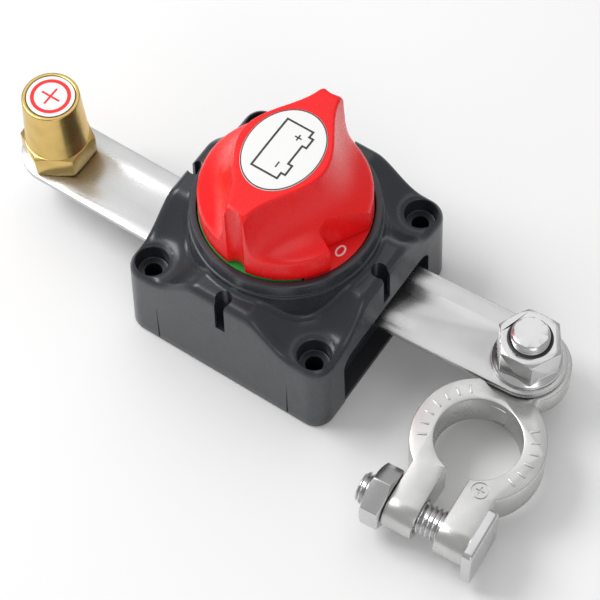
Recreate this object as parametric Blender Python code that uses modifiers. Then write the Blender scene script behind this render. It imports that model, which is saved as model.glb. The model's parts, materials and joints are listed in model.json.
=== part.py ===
"""A battery isolator switch on two plated copper bars.

The rear face of the housing lies on the plane z = 0 and the knob turns about
the Z axis. The right-hand bar carries a battery-post clamp and the left-hand
bar carries a tapered battery post. Sizes are in millimetres and the helpers
turn them into metres.
"""

import math

import bmesh
import bpy
from mathutils import Matrix, Vector

MM = 0.001
GAP = 0.3  # clearance between pieces that touch

# Housing
BODY_WIDTH = 69.0
BODY_DRAFT = 0.019
CORNER_RADIUS = 5.8
SHOULDER_TOP = 40.3
BOSS_TOP = 30.6
EDGE_ROUND = 2.8
HOLE_OFFSET = 27.7
HOLE_RADIUS = 2.6
COUNTERBORE_RADIUS = 4.7
COUNTERBORE_FLOOR = 24.5
BOSS_INNER, BOSS_OUTER = 6.0, 20.0
WALL = 2.1
OPENING_HALF = 22.3
OPENING_TOP = 23.6
INNER_WALL_X = (28.0, 29.7)
CHAMBER_RADIUS = 22.5
CHAMBER_FLOOR = 23.3
CHAMBER_TOP = 43.3
COLLAR_RADIUS = 27.2
COLLAR_FOOT_RADIUS = 27.8
COLLAR_STEP = 43.0
COLLAR_TOP = 47.8
DIAL_SEAT = 45.3
DIAL_RECESS_RADIUS = 25.1
SHAFT_BORE = 10.6
SEAL_BORE = 13.1
SEAL_SEAT = 43.9
KEYWAY_X = 31.2
KEYWAY_RADIUS = 2.4
KEYWAY_HALF_SLOT = 1.6
KEYWAY_FLOOR = 26.5
COVER_THICKNESS = 2.0

# Dial
DIAL_INNER, DIAL_OUTER = 13.4, 24.8
DIAL_THICKNESS = 1.6
DIAL_SPLIT_DEG = -45.0

# Knob
KNOB_RADIUS = 24.6
KNOB_FOOT = 47.7
KNOB_TOP = 75.4
WING_CROWN = 1.2
WING_TIP_HALF = 3.2
WING_SWELL = 10.0
LOBE_EDGE = 55.8
LOBE_DOME = 3.2
LABEL_SEMI_X, LABEL_SEMI_Y = 10.8, 14.1
LABEL_THICKNESS = 0.4

# Bars
BAR_TOP = 18.6
BAR_THICKNESS = 2.0
BAR_HALF_WIDTH = 11.6
STUD_X, STUD_Y = 14.0, 6.0
POST_X = -78.0
BOLT_X = 75.3
RIGHT_YAW_DEG = 3.27

# Terminal studs and their stack
STUD_RADIUS = 4.8
CONTACT_RADIUS = 6.4
CARRIER_RADIUS = 27.4
CARRIER_Z = (19.0, 23.0)
CONTACT_TOP = 26.3

# Battery-post clamp, in a frame on its bolt with X along the bar
CLAMP_YAW_DEG = 3.5
CLAMP_TOP, CLAMP_FOOT = 18.6, 6.1
RING_DISTANCE = 29.2
RING_OUTER, RING_BORE = 19.3, 12.5
LUG_RADIUS, LUG_FOOT = 12.9, 8.6
SLIT_HALF, EAR_OUTER = 3.45, 12.8
EAR_ROUND_Y = -56.0
PINCH_Y = -55.2
PINCH_RADIUS = 4.8
STEP_RADIUS = 14.0

OBJECT = bpy.data.collections.new("battery_switch")
CUTTERS = bpy.data.collections.new("cutters")


def clear_scene():
    """Remove what a new file holds, and add the two collections."""
    for obj in list(bpy.data.objects):
        bpy.data.objects.remove(obj, do_unlink=True)
    for collection in (OBJECT, CUTTERS):
        bpy.context.scene.collection.children.link(collection)


def material(name, colour, roughness, metallic=0.0):
    """A plain shader of one colour."""
    made = bpy.data.materials.new(name)
    made.use_nodes = True
    shader = made.node_tree.nodes["Principled BSDF"]
    shader.inputs["Base Color"].default_value = (*colour, 1.0)
    shader.inputs["Roughness"].default_value = roughness
    shader.inputs["Metallic"].default_value = metallic
    return made


def add(name, mesh, finish=None):
    """An object of the part, or a cutter when it has no finish."""
    obj = bpy.data.objects.new(name, mesh)
    if finish is None:
        CUTTERS.objects.link(obj)
        obj.hide_render = True
        obj.display_type = "WIRE"
    else:
        OBJECT.objects.link(obj)
        mesh.materials.append(finish)
    return obj


def smooth(obj):
    """Round faces shade smooth and edges over 35 degrees stay sharp."""
    obj.data.shade_smooth()
    obj.data.set_sharp_from_angle(angle=math.radians(35))
    return obj


def finish_mesh(name, bm, finish=None, frame=None):
    """Turn a bmesh in millimetres into an object in metres, placed by a frame."""
    bm.transform(Matrix.Scale(MM, 4))
    mesh = bpy.data.meshes.new(name)
    bm.to_mesh(mesh)
    bm.free()
    obj = smooth(add(name, mesh, finish))
    if frame is not None:
        turn = frame.to_3x3().to_4x4()
        obj.matrix_world = Matrix.Translation(frame.to_translation() * MM) @ turn
    return obj


def box(name, x, y, z, finish=None, frame=None):
    """A block between two values on each axis."""
    bm = bmesh.new()
    bmesh.ops.create_cube(bm, size=1.0)
    for vert in bm.verts:
        vert.co = Vector(
            span[0] if side < 0 else span[1] for side, span in zip(vert.co, (x, y, z))
        )
    return finish_mesh(name, bm, finish, frame)


def rod(name, radius, z, at=(0.0, 0.0), finish=None, sides=32, top=None, turn=0.0, frame=None):
    """A cylinder, cone or prism of some sides standing between two heights."""
    bm = bmesh.new()
    bmesh.ops.create_cone(
        bm,
        cap_ends=True,
        segments=sides,
        radius1=radius,
        radius2=radius if top is None else top,
        depth=z[1] - z[0],
        matrix=Matrix.Translation((at[0], at[1], (z[0] + z[1]) / 2))
        @ Matrix.Rotation(math.radians(turn), 4, "Z"),
    )
    return finish_mesh(name, bm, finish, frame)


def along_x(y, z):
    """A frame that lays a standing shape along X, at a place in Y and Z."""
    return Matrix.Translation((0, y, z)) @ Matrix.Rotation(math.radians(90), 4, "Y")


def plate(name, loops, z, finish=None, frame=None):
    """A flat plate standing between two heights, whose inner outlines are holes."""
    bm = bmesh.new()
    if len(loops) == 1:
        face = bm.faces.new([bm.verts.new((x, y, z[0])) for x, y in loops[0]])
        raised = bmesh.ops.extrude_face_region(bm, geom=[face])["geom"]
        lifted = [item for item in raised if isinstance(item, bmesh.types.BMVert)]
        bmesh.ops.translate(bm, verts=lifted, vec=(0, 0, z[1] - z[0]))
    else:
        curve = bpy.data.curves.new(name, "CURVE")
        curve.dimensions = "2D"
        curve.fill_mode = "BOTH"
        curve.extrude = (z[1] - z[0]) / 2
        for loop in loops:
            spline = curve.splines.new("POLY")
            spline.points.add(len(loop) - 1)
            for point, (x, y) in zip(spline.points, loop):
                point.co = (x, y, 0, 1)
            spline.use_cyclic_u = True
        guide = add(name + "_outline", curve)
        bpy.context.view_layer.update()
        graph = bpy.context.evaluated_depsgraph_get()
        filled = bpy.data.meshes.new_from_object(guide.evaluated_get(graph))
        bpy.data.objects.remove(guide, do_unlink=True)
        bm.from_mesh(filled)
        bpy.data.meshes.remove(filled)
        bmesh.ops.remove_doubles(bm, verts=bm.verts, dist=0.01)
        bmesh.ops.translate(bm, verts=bm.verts, vec=(0, 0, (z[0] + z[1]) / 2))
    bmesh.ops.recalc_face_normals(bm, faces=bm.faces)
    return finish_mesh(name, bm, finish, frame)


def arc(radius, start, end, steps, at=(0.0, 0.0)):
    """Points along an arc, in degrees, both ends included."""
    turns = (math.radians(start + (end - start) * i / steps) for i in range(steps + 1))
    return [(at[0] + radius * math.cos(t), at[1] + radius * math.sin(t)) for t in turns]


def circle(radius, steps, at=(0.0, 0.0)):
    """Points round a whole circle."""
    return arc(radius, 0, 360 - 360 / steps, steps - 1, at)


def turned(name, profile, finish=None, steps=48, at=(0.0, 0.0), closed=False):
    """A profile of (radius, height) points turned about a standing axis."""
    bm = bmesh.new()
    verts = [bm.verts.new((radius * MM, 0, height * MM)) for radius, height in profile]
    pairs = list(zip(verts, verts[1:]))
    if closed:
        pairs.append((verts[-1], verts[0]))
    for pair in pairs:
        bm.edges.new(pair)
    mesh = bpy.data.meshes.new(name)
    bm.to_mesh(mesh)
    bm.free()
    obj = add(name, mesh, finish)
    obj.location = (at[0] * MM, at[1] * MM, 0)
    screw = obj.modifiers.new("turn", "SCREW")
    screw.axis = "Z"
    screw.steps = screw.render_steps = steps
    screw.use_merge_vertices = True
    screw.merge_threshold = 0.00001
    screw.use_smooth_shade = True
    return obj


def combine(target, *others, operation="DIFFERENCE"):
    """Boolean modifiers, one for each other shape."""
    for other in others:
        modifier = target.modifiers.new(other.name, "BOOLEAN")
        modifier.operation = operation
        modifier.object = other
        modifier.solver = "EXACT"
    return target


def smoothstep(value):
    """Rise from 0 to 1 with level ends."""
    value = min(1.0, max(0.0, value))
    return value * value * (3 - 2 * value)


def inside_distance(x, y, half, radius):
    """How far a point lies inside a square with rounded corners."""
    dx, dy = abs(x) - (half - radius), abs(y) - (half - radius)
    return radius - math.hypot(max(dx, 0), max(dy, 0)) - min(max(dx, dy), 0)


def shoulder_height(x, y):
    """The housing's top: a plateau round the collar that dips to four corner bosses."""
    reach = math.hypot(abs(x) - HOLE_OFFSET, abs(y) - HOLE_OFFSET)
    rise = smoothstep((reach - BOSS_INNER) / (BOSS_OUTER - BOSS_INNER))
    height = BOSS_TOP + (SHOULDER_TOP - BOSS_TOP) * rise
    half = BODY_WIDTH / 2 - BODY_DRAFT * height
    depth = min(EDGE_ROUND, max(0.0, inside_distance(x, y, half, CORNER_RADIUS)))
    return height - EDGE_ROUND + math.sqrt(depth * (2 * EDGE_ROUND - depth))


def housing(finish):
    """The moulded case: drafted square walls, dipping shoulders and a round collar."""
    bm = bmesh.new()
    bmesh.ops.create_grid(bm, x_segments=30, y_segments=30, size=BODY_WIDTH / 2 + 1)
    for vert in bm.verts:
        vert.co.z = shoulder_height(vert.co.x, vert.co.y)
    lower = bmesh.ops.extrude_face_region(bm, geom=bm.faces[:])["geom"]
    for item in lower:
        if isinstance(item, bmesh.types.BMVert):
            item.co.z = -5.0
    bmesh.ops.recalc_face_normals(bm, faces=bm.faces)
    shoulders = finish_mesh("shoulders", bm)

    bm = bmesh.new()
    bmesh.ops.create_cube(bm, size=1.0)
    top = COLLAR_TOP + 2
    for vert in bm.verts:
        height = top if vert.co.z > 0 else 0.0
        half = BODY_WIDTH / 2 - BODY_DRAFT * height
        vert.co = Vector((math.copysign(half, vert.co.x), math.copysign(half, vert.co.y), height))
    upright = [e for e in bm.edges if abs(e.verts[0].co.z - e.verts[1].co.z) > 1]
    bmesh.ops.bevel(
        bm, geom=upright, offset=CORNER_RADIUS, segments=6, profile=0.5, affect="EDGES"
    )
    body = finish_mesh("housing", bm, finish)
    combine(body, shoulders, operation="INTERSECT")
    collar = turned(
        "collar",
        (
            (0, COLLAR_TOP),
            (COLLAR_RADIUS - 0.6, COLLAR_TOP),
            (COLLAR_RADIUS, COLLAR_TOP - 0.6),
            (COLLAR_RADIUS, COLLAR_STEP),
            (COLLAR_FOOT_RADIUS, COLLAR_STEP - 0.6),
            (COLLAR_FOOT_RADIUS, CHAMBER_FLOOR + 3),
            (0, CHAMBER_FLOOR + 3),
        ),
        steps=72,
    )
    combine(body, collar, operation="UNION")
    bore = turned(
        "chamber",
        (
            (0, COLLAR_TOP + 1),
            (DIAL_RECESS_RADIUS, COLLAR_TOP + 1),
            (DIAL_RECESS_RADIUS, DIAL_SEAT),
            (SEAL_BORE, DIAL_SEAT),
            (SEAL_BORE, SEAL_SEAT),
            (SHAFT_BORE, SEAL_SEAT),
            (SHAFT_BORE, CHAMBER_TOP),
            (CHAMBER_RADIUS, CHAMBER_TOP),
            (CHAMBER_RADIUS, CHAMBER_FLOOR - 1),
            (0, CHAMBER_FLOOR - 1),
        ),
        steps=72,
    )
    inner_y = BODY_WIDTH / 2 - WALL
    combine(
        body,
        bore,
        box("cavity_x", (-INNER_WALL_X[0], INNER_WALL_X[0]), (-OPENING_HALF, OPENING_HALF),
            (-1, CHAMBER_FLOOR)),
        box("cavity_y", (-OPENING_HALF, OPENING_HALF), (-inner_y, inner_y), (-1, CHAMBER_FLOOR)),
        box("cover_seat", (-INNER_WALL_X[1] - 0.1, INNER_WALL_X[1] + 0.1),
            (-OPENING_HALF, OPENING_HALF), (-1, COVER_THICKNESS + GAP)),
    )
    opening = (
        [(-OPENING_HALF, -1.0), (OPENING_HALF, -1.0), (OPENING_HALF, OPENING_TOP)]
        + arc(5.0, 90, 180, 5, (-OPENING_HALF + 5, OPENING_TOP - 5))
    )
    for side in (0, 180):
        turn = Matrix.Rotation(math.radians(side), 4, "Z")
        stand = Matrix(((0, 0, 1, 0), (1, 0, 0, 0), (0, 1, 0, 0), (0, 0, 0, 1)))
        combine(
            body,
            plate(f"opening_{side}", (opening,), (INNER_WALL_X[1], 40.0), frame=turn @ stand),
            box(f"passage_{side}", (20, 31), (STUD_Y - 13.5, STUD_Y + 15.0), (8, CHAMBER_FLOOR - 1),
                frame=turn),
        )
    for side in range(4):
        turn = Matrix.Rotation(math.radians(90 * side), 4, "Z")
        combine(
            body,
            rod(f"keyway_{side}", KEYWAY_RADIUS, (KEYWAY_FLOOR, 50), (KEYWAY_X, 0), sides=16, frame=turn),
            box(f"keyslot_{side}", (KEYWAY_X, 40), (-KEYWAY_HALF_SLOT, KEYWAY_HALF_SLOT),
                (KEYWAY_FLOOR, 50), frame=turn),
        )
        corner = (HOLE_OFFSET, HOLE_OFFSET)
        combine(
            body,
            rod(f"counterbore_{side}", COUNTERBORE_RADIUS, (COUNTERBORE_FLOOR, 50), corner, sides=24,
                frame=turn),
            rod(f"hole_{side}", HOLE_RADIUS, (-1, COUNTERBORE_FLOOR + 1), corner, sides=16, frame=turn),
        )
    for side, (x, y) in enumerate(carrier_screw_places()):
        combine(body, rod(f"pilot_{side}", 1.7, (CHAMBER_FLOOR - 1, 33), (x, y), sides=10))
    return body


def carrier_screw_places():
    """Two screws across from the studs, on the ledge round the chamber."""
    turn = math.atan2(STUD_Y, STUD_X) + math.pi / 2
    x, y = 25.1 * math.cos(turn), 25.1 * math.sin(turn)
    return ((x, y), (-x, -y))


def rear_cover(finish):
    """The plate that closes the back, with four clip tabs."""
    reach_x, reach_y, half = BODY_WIDTH / 2 - 0.3, BODY_WIDTH / 2 - WALL - GAP, OPENING_HALF - GAP
    outline = []
    for sx, sy in ((1, 1), (-1, 1), (-1, -1), (1, -1)):
        step = [(sx * reach_x, sy * half), (sx * half, sy * half), (sx * half, sy * reach_y)]
        outline += step if sx * sy > 0 else step[::-1]
    cover = plate("rear_cover", (outline,), (0, COVER_THICKNESS), finish)
    for sy in (1, -1):
        for x in (-14, 14):
            y = sorted((sy * (reach_y - 0.1), sy * (reach_y - 1.5)))
            combine(
                cover,
                box(f"tab_{sy}_{x}", (x - 4, x + 4), y, (COVER_THICKNESS - 0.5, 9)),
                operation="UNION",
            )
    return cover


def dial_sector(name, start, finish):
    """Half of the printed dial ring."""
    inset = math.degrees(GAP / DIAL_OUTER)
    outer = arc(DIAL_OUTER, start + inset, start + 180 - inset, 28)
    inner = arc(DIAL_INNER, start + 180 - 2 * inset, start + 2 * inset, 20)
    return plate(name, (outer + inner,), (DIAL_SEAT + GAP, DIAL_SEAT + GAP + DIAL_THICKNESS), finish)


def wing_half_width(y):
    """Half the width of the grip's top at a place along it."""
    swell = 0.5 + 0.5 * math.cos(math.pi * min(1.0, abs(y) / KNOB_RADIUS))
    return WING_TIP_HALF + WING_SWELL * swell


def knob_height(x, y):
    """The knob's top: a grip along Y with hollow flanks between two low lobes."""
    along = min(1.0, abs(y) / KNOB_RADIUS)
    lobe = LOBE_EDGE + LOBE_DOME * (1 - min(1.0, math.hypot(x, y) / KNOB_RADIUS) ** 4)
    crest = KNOB_TOP - WING_CROWN * along**2
    past = abs(x) - wing_half_width(y)
    if past <= 0:
        return crest
    fade = 0.7 + 2.7 * (1 - along**4)
    return lobe + (crest - lobe) * math.exp(-past / fade)


def knob(finish):
    """The grip knob, with its socket, pointer groove and window."""
    rows, columns, flank = 28, 18, 7
    bm = bmesh.new()
    bmesh.ops.create_grid(bm, x_segments=columns, y_segments=rows, size=1.0)
    for vert in bm.verts:
        turn = math.radians(88.5) * vert.co.y
        y, chord = KNOB_RADIUS * math.sin(turn), KNOB_RADIUS * math.cos(turn)
        crest = min(wing_half_width(y), 0.97 * chord)
        step = abs(vert.co.x) * columns / 2 - (columns / 2 - flank)
        if step <= 0:
            x = crest * (1 + step / (columns / 2 - flank))
        else:
            x = crest + (chord - crest) * (step / flank) ** 1.5
        vert.co = Vector((math.copysign(x, vert.co.x), y, knob_height(x, y)))
    lower = bmesh.ops.extrude_face_region(bm, geom=bm.faces[:])["geom"]
    for item in lower:
        if isinstance(item, bmesh.types.BMVert):
            item.co.z = KNOB_FOOT
    bmesh.ops.recalc_face_normals(bm, faces=bm.faces)
    grip = finish_mesh("knob", bm, finish)
    window = [(16.9, -5.6), (25.0, 8.3), (30, 8.3), (30, -14.0), (22.96, -11.0), (18.6, -9.2),
              (17.2, -7.9)]
    combine(
        grip,
        rod("pointer_groove", 3.3, (KNOB_FOOT - 1, KNOB_TOP + 2), (0, -KNOB_RADIUS - 1.5), sides=20),
        rod("tail_groove", 3.3, (KNOB_FOOT - 1, KNOB_TOP + 2), (0, KNOB_RADIUS + 1.9), sides=20),
        plate("window", (window,), (KNOB_FOOT - 1, KNOB_TOP)),
        rod("socket", 7.9, (KNOB_FOOT - 1, 60.6), sides=32),
        rod("screw_hole", 2.3, (60, 65), sides=16),
        rod("screw_recess", 4.6, (64, 80), sides=24),
        turned("underside", ((0, 54), (9.2, 54), (9.2, 54.1), (9.2, KNOB_FOOT - 1), (0, KNOB_FOOT - 1)),
               steps=24),
    )
    return grip


def label_outline():
    """The oval of the knob's label."""
    return [(x * LABEL_SEMI_X, y * LABEL_SEMI_Y) for x, y in circle(1.0, 48)]


def rotor(finish):
    """The shaft under the knob, with a flange below the web and a pivot at its foot."""
    shaft = turned(
        "rotor",
        (
            (0, 60.2),
            (7.5, 60.2),
            (7.5, 47.2),
            (10.2, 47.2),
            (10.2, CHAMBER_TOP - 0.4),
            (14.0, CHAMBER_TOP - 0.4),
            (14.0, 40.5),
            (5.5, 40.5),
            (5.5, 30.6),
            (4.5, 30.6),
            (4.5, 24.4),
            (3.0, 24.4),
            (3.0, 20.9),
            (0, 20.9),
        ),
        finish,
        steps=40,
    )
    combine(
        shaft,
        rod("shaft_pilot", 2.2, (49, 62), sides=12),
        box("flat_a", (-9, 9), (5.6, 9), (47.2, 62)),
        box("flat_b", (-9, 9), (-9, -5.6), (47.2, 62)),
    )
    return shaft


def helix(name, radius, wire, z, turns, finish):
    """A round wire wound about the Z axis."""
    curve = bpy.data.curves.new(name, "CURVE")
    curve.dimensions = "3D"
    curve.bevel_depth = wire / 2 * MM
    curve.bevel_resolution = 2
    curve.use_fill_caps = True
    spline = curve.splines.new("POLY")
    count = int(turns * 14)
    spline.points.add(count)
    for i, point in enumerate(spline.points):
        turn = 2 * math.pi * turns * i / count
        height = z[0] + (z[1] - z[0]) * i / count
        point.co = (radius * math.cos(turn) * MM, radius * math.sin(turn) * MM, height * MM, 1)
    obj = bpy.data.objects.new(name, curve)
    OBJECT.objects.link(obj)
    curve.materials.append(finish)
    weld = obj.modifiers.new("close_caps", "WELD")
    weld.merge_threshold = 0.00001
    return obj


def moving_contact(finish):
    """The bridge between the studs, lying across them while the switch is off."""
    reach = math.hypot(STUD_X, STUD_Y)
    ends = arc(6.0, -90, 90, 10, (reach, 0)) + arc(6.0, 90, 270, 10, (-reach, 0))
    turn = Matrix.Rotation(math.atan2(STUD_Y, STUD_X) + math.pi / 2, 4, "Z")
    return plate("moving_contact", (ends, circle(4.8, 20)), (27.6, 30.1), finish, turn)


def contact_carrier(finish):
    """The insulating plate that holds both studs and the rotor's pivot."""
    holes = [circle(5.1, 20, (STUD_X, STUD_Y)), circle(5.1, 20, (-STUD_X, -STUD_Y))]
    holes += [circle(1.8, 10, place) for place in carrier_screw_places()]
    carrier = plate("contact_carrier", (circle(CARRIER_RADIUS, 48), *holes), CARRIER_Z, finish)
    return combine(carrier, rod("pivot_hole", 3.4, (20.5, 25), sides=16))


def washer(name, outer, inner, z, at, finish, sides=28):
    """A flat ring."""
    return plate(name, (circle(outer, sides, at), circle(inner, sides, at)), z, finish)


def hex_nut(name, flats, bore, z, at, finish, turn=0.0):
    """A hexagon nut, its corners turned in degrees from X."""
    corner = flats / math.sqrt(3)
    six = [(at[0] + x, at[1] + y) for x, y in arc(corner, turn, turn + 300, 5)]
    return plate(name, (six, circle(bore, 24, at)), z, finish)


def terminal(side, name, metal, steel):
    """A stud with its contact head, and the washers and nut that hold its bar."""
    at = (side * STUD_X, side * STUD_Y)
    turned(
        f"{name}_stud",
        (
            (0, CONTACT_TOP),
            (CONTACT_RADIUS, CONTACT_TOP),
            (CONTACT_RADIUS, CARRIER_Z[1] + GAP),
            (STUD_RADIUS, CARRIER_Z[1] + GAP),
            (STUD_RADIUS, 4.6),
            (STUD_RADIUS - 0.8, 3.8),
            (0, 3.8),
        ),
        metal,
        steps=28,
        at=at,
    )
    foot = BAR_TOP - BAR_THICKNESS - GAP
    washer(f"{name}_washer", 10.0, 5.2, (foot - 1.6, foot), at, steel)
    gap = math.radians(8)
    outer = arc(8.6, math.degrees(gap), 360 - math.degrees(gap), 26, at)
    inner = arc(5.4, 360 - math.degrees(gap), math.degrees(gap), 22, at)
    plate(f"{name}_spring_washer", (outer + inner,), (foot - 4.1, foot - 1.9), steel)
    hex_nut(f"{name}_nut", 17.0, 5.15, (5.0, foot - 4.4), at, steel, 30.0)


def bar(name, length, outer_hole, finish, frame):
    """A flat bar with round ends, drilled over its stud and at its far end."""
    outline = (
        arc(BAR_HALF_WIDTH, 90, 270, 16) + arc(BAR_HALF_WIDTH, -90, 90, 16, (length, 0))
    )
    holes = (circle(5.3, 24), circle(outer_hole, 24, (length, 0)))
    return plate(name, (outline, *holes), (BAR_TOP - BAR_THICKNESS, BAR_TOP), finish, frame)


def battery_post(finish):
    """The tapered brass post on its hexagon."""
    x, y = POST_X, -STUD_Y
    post = turned(
        "battery_post",
        ((0, 46.2), (8.2, 46.2), (8.5, 45.9), (9.55, 27.0), (0, 27.0)),
        finish,
        steps=48,
        at=(x, y),
    )
    combine(
        post,
        rod("post_hexagon", 11.2, (BAR_TOP + GAP, 27.4), (x, y), sides=6, turn=30),
        operation="UNION",
    )
    return combine(
        post,
        rod("label_recess", 7.4, (45.7, 48), (x, y), sides=40),
        rod("post_bore", 5.1, (10, 38.5), (x, y), sides=24),
    )


def bolt(name, radius, z, head, flats, at, finish, turn=0.0):
    """A hexagon-head bolt standing on its head."""
    shank = turned(
        name,
        ((0, z[1]), (radius - 0.8, z[1]), (radius, z[1] - 0.8), (radius, z[0]), (0, z[0])),
        finish,
        steps=28,
        at=at,
    )
    corner = flats / math.sqrt(3)
    return combine(
        shank,
        rod(f"{name}_head", corner, (z[0] - head, z[0] + 0.2), at, sides=6, turn=turn),
        operation="UNION",
    )


def clamp(finish, frame):
    """The split ring with its lug, neck and two ears."""
    ring_at = (0, -RING_DISTANCE)
    height = (CLAMP_FOOT, CLAMP_TOP)
    middle = (CLAMP_FOOT + CLAMP_TOP) / 2
    ring = rod("battery_clamp", RING_OUTER, height, ring_at, finish, sides=72, frame=frame)
    combine(
        ring,
        box("ears", (-EAR_OUTER, EAR_OUTER), (EAR_ROUND_Y, -RING_DISTANCE - 6), height, frame=frame),
        rod("ear_round", (CLAMP_TOP - CLAMP_FOOT) / 2, (-EAR_OUTER, EAR_OUTER), sides=32,
            frame=frame @ along_x(EAR_ROUND_Y, middle)),
        rod("lug", LUG_RADIUS, (LUG_FOOT, CLAMP_TOP), sides=48, frame=frame),
        box("neck", (-9.4, 9.4), (-17, -8), (LUG_FOOT, CLAMP_TOP), frame=frame),
        operation="UNION",
    )
    step = BAR_TOP - BAR_THICKNESS - GAP
    return combine(
        ring,
        rod("bore", RING_BORE, (0, 30), ring_at, sides=64, frame=frame),
        box("slit", (-SLIT_HALF, SLIT_HALF), (-70, -RING_DISTANCE), (0, 30), frame=frame),
        rod("step", STEP_RADIUS, (step, 30), sides=48, frame=frame),
        box("step_side", (-30, 30), (-BAR_HALF_WIDTH - 0.45, 30), (step, 30), frame=frame),
        rod("bolt_hole", 6.0, (0, 30), sides=28, frame=frame),
        rod("pinch_hole", PINCH_RADIUS + GAP, (-40, 40), sides=24,
            frame=frame @ along_x(PINCH_Y, middle)),
    )


def pinch_bolt(finish, frame):
    """The bolt across the clamp's ears, with a square head."""
    middle = (CLAMP_FOOT + CLAMP_TOP) / 2
    lay = frame @ along_x(PINCH_Y, middle)
    shank = rod("pinch_bolt", PINCH_RADIUS, (-22.6, 14.0), sides=28, finish=finish, frame=lay)
    head = rod("pinch_head", 12.0, (EAR_OUTER + GAP, EAR_OUTER + 3.2), sides=4, top=10.4, turn=45, frame=lay)
    return combine(shank, head, operation="UNION")


def build():
    """Model every piece."""
    clear_scene()
    case = material("case_plastic", (0.042, 0.048, 0.056), 0.35)
    black = material("black_plastic", (0.02, 0.022, 0.025), 0.5)
    red = material("red_plastic", (0.82, 0.02, 0.02), 0.35)
    green = material("green_print", (0.015, 0.35, 0.06), 0.45)
    red_print = material("red_print", (0.8, 0.01, 0.01), 0.45)
    white = material("white_print", (0.85, 0.85, 0.85), 0.4)
    plated = material("bright_plate", (0.75, 0.76, 0.76), 0.22, 1.0)
    copper = material("contact_copper", (0.85, 0.45, 0.3), 0.3, 1.0)
    steel = material("zinc_steel", (0.7, 0.71, 0.72), 0.3, 1.0)
    brass = material("brass", (0.7, 0.55, 0.25), 0.25, 1.0)
    rubber = material("black_rubber", (0.015, 0.015, 0.015), 0.7)

    housing(case)
    rear_cover(black)
    dial_sector("dial_off_sector", DIAL_SPLIT_DEG, red_print)
    dial_sector("dial_on_sector", DIAL_SPLIT_DEG + 180, green)
    turned(
        "shaft_seal",
        ((12.8, SEAL_SEAT + 1.5), (12.8, SEAL_SEAT + GAP), (10.9, SEAL_SEAT + GAP),
         (10.5, SEAL_SEAT + 0.9), (10.9, SEAL_SEAT + 1.5)),
        rubber, steps=48, closed=True,
    )
    knob(red)
    plate("knob_label", (label_outline(),), (KNOB_TOP + 0.02 + GAP, KNOB_TOP + 0.02 + GAP + LABEL_THICKNESS),
          white)
    turned("knob_screw", ((0, 67), (3.6, 67), (4.2, 66.2), (4.2, 65 + GAP), (1.9, 65 + GAP), (1.9, 50),
                          (0, 49.2)), steel, steps=20)
    rotor(black)
    helix("contact_spring", 7.5, 1.2, (31.2, 39.6), 4.5, steel)
    moving_contact(copper)
    contact_carrier(black)
    for index, place in enumerate(carrier_screw_places()):
        turned(
            f"carrier_screw_{index + 1}",
            ((0, 31), (1.4, 30), (1.4, 18.7), (2.8, 18.7), (2.8, 16.9), (0, 16.9)),
            steel, steps=16, at=place,
        )
    terminal(-1, "left", copper, steel)
    terminal(1, "right", copper, steel)

    left = Matrix.Translation((-STUD_X, -STUD_Y, 0)) @ Matrix.Rotation(math.pi, 4, "Z")
    bar("left_bar", -STUD_X - POST_X, 5.4, plated, left)
    yaw = Matrix.Rotation(math.radians(RIGHT_YAW_DEG), 4, "Z")
    reach = (BOLT_X - STUD_X) / math.cos(math.radians(RIGHT_YAW_DEG))
    bar("right_bar", reach, 5.9, plated, Matrix.Translation((STUD_X, STUD_Y, 0)) @ yaw)

    battery_post(brass)
    post_at = (POST_X, -STUD_Y)
    plate("post_label", (circle(7.1, 40, post_at),), (46.0, 46.2), white)
    bolt("post_bolt", 4.8, (16.3, 36.5), 6.4, 17.0, post_at, steel)

    bolt_y = STUD_Y + reach * math.sin(math.radians(RIGHT_YAW_DEG))
    bolt_at = (BOLT_X, bolt_y)
    on_bolt = Matrix.Translation((*bolt_at, 0)) @ Matrix.Rotation(math.radians(CLAMP_YAW_DEG), 4, "Z")
    clamp(plated, on_bolt)
    bolt("clamp_bolt", 5.6, (LUG_FOOT - GAP, 34.0), 6.0, 17.0, bolt_at, steel)
    nut = hex_nut("clamp_nut", 17.0, 5.95, (20.4, 30.8), bolt_at, steel, RIGHT_YAW_DEG)
    flange = plate("nut_flange", (circle(10.3, 40, bolt_at), circle(5.95, 24, bolt_at)),
                   (BAR_TOP + GAP, 21.0))
    combine(nut, flange, operation="UNION")
    pinch_bolt(steel, on_bolt)
    middle = (CLAMP_FOOT + CLAMP_TOP) / 2
    corner = 16.0 / math.sqrt(3)
    outer = EAR_OUTER + GAP
    nut = rod("pinch_nut", corner, (-outer - 6.0, -outer), sides=6, finish=steel,
              frame=on_bolt @ along_x(PINCH_Y, middle), turn=0)
    combine(nut, rod("pinch_nut_bore", PINCH_RADIUS + GAP, (-40, 0), sides=24,
                     frame=on_bolt @ along_x(PINCH_Y, middle)))


build()
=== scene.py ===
"""The looks of a battery isolator switch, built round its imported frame.

Lengths are written in millimetres and turned into metres where a mesh is made. The rear
face of the housing lies on z = 0, the knob turns about the Z axis and the bars run along X.
"""

from __future__ import annotations

import json
import logging
import math
from dataclasses import dataclass
from enum import Enum
from functools import lru_cache
from typing import Callable, Iterable, Sequence

import bpy
from mathutils import Matrix, Vector


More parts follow.
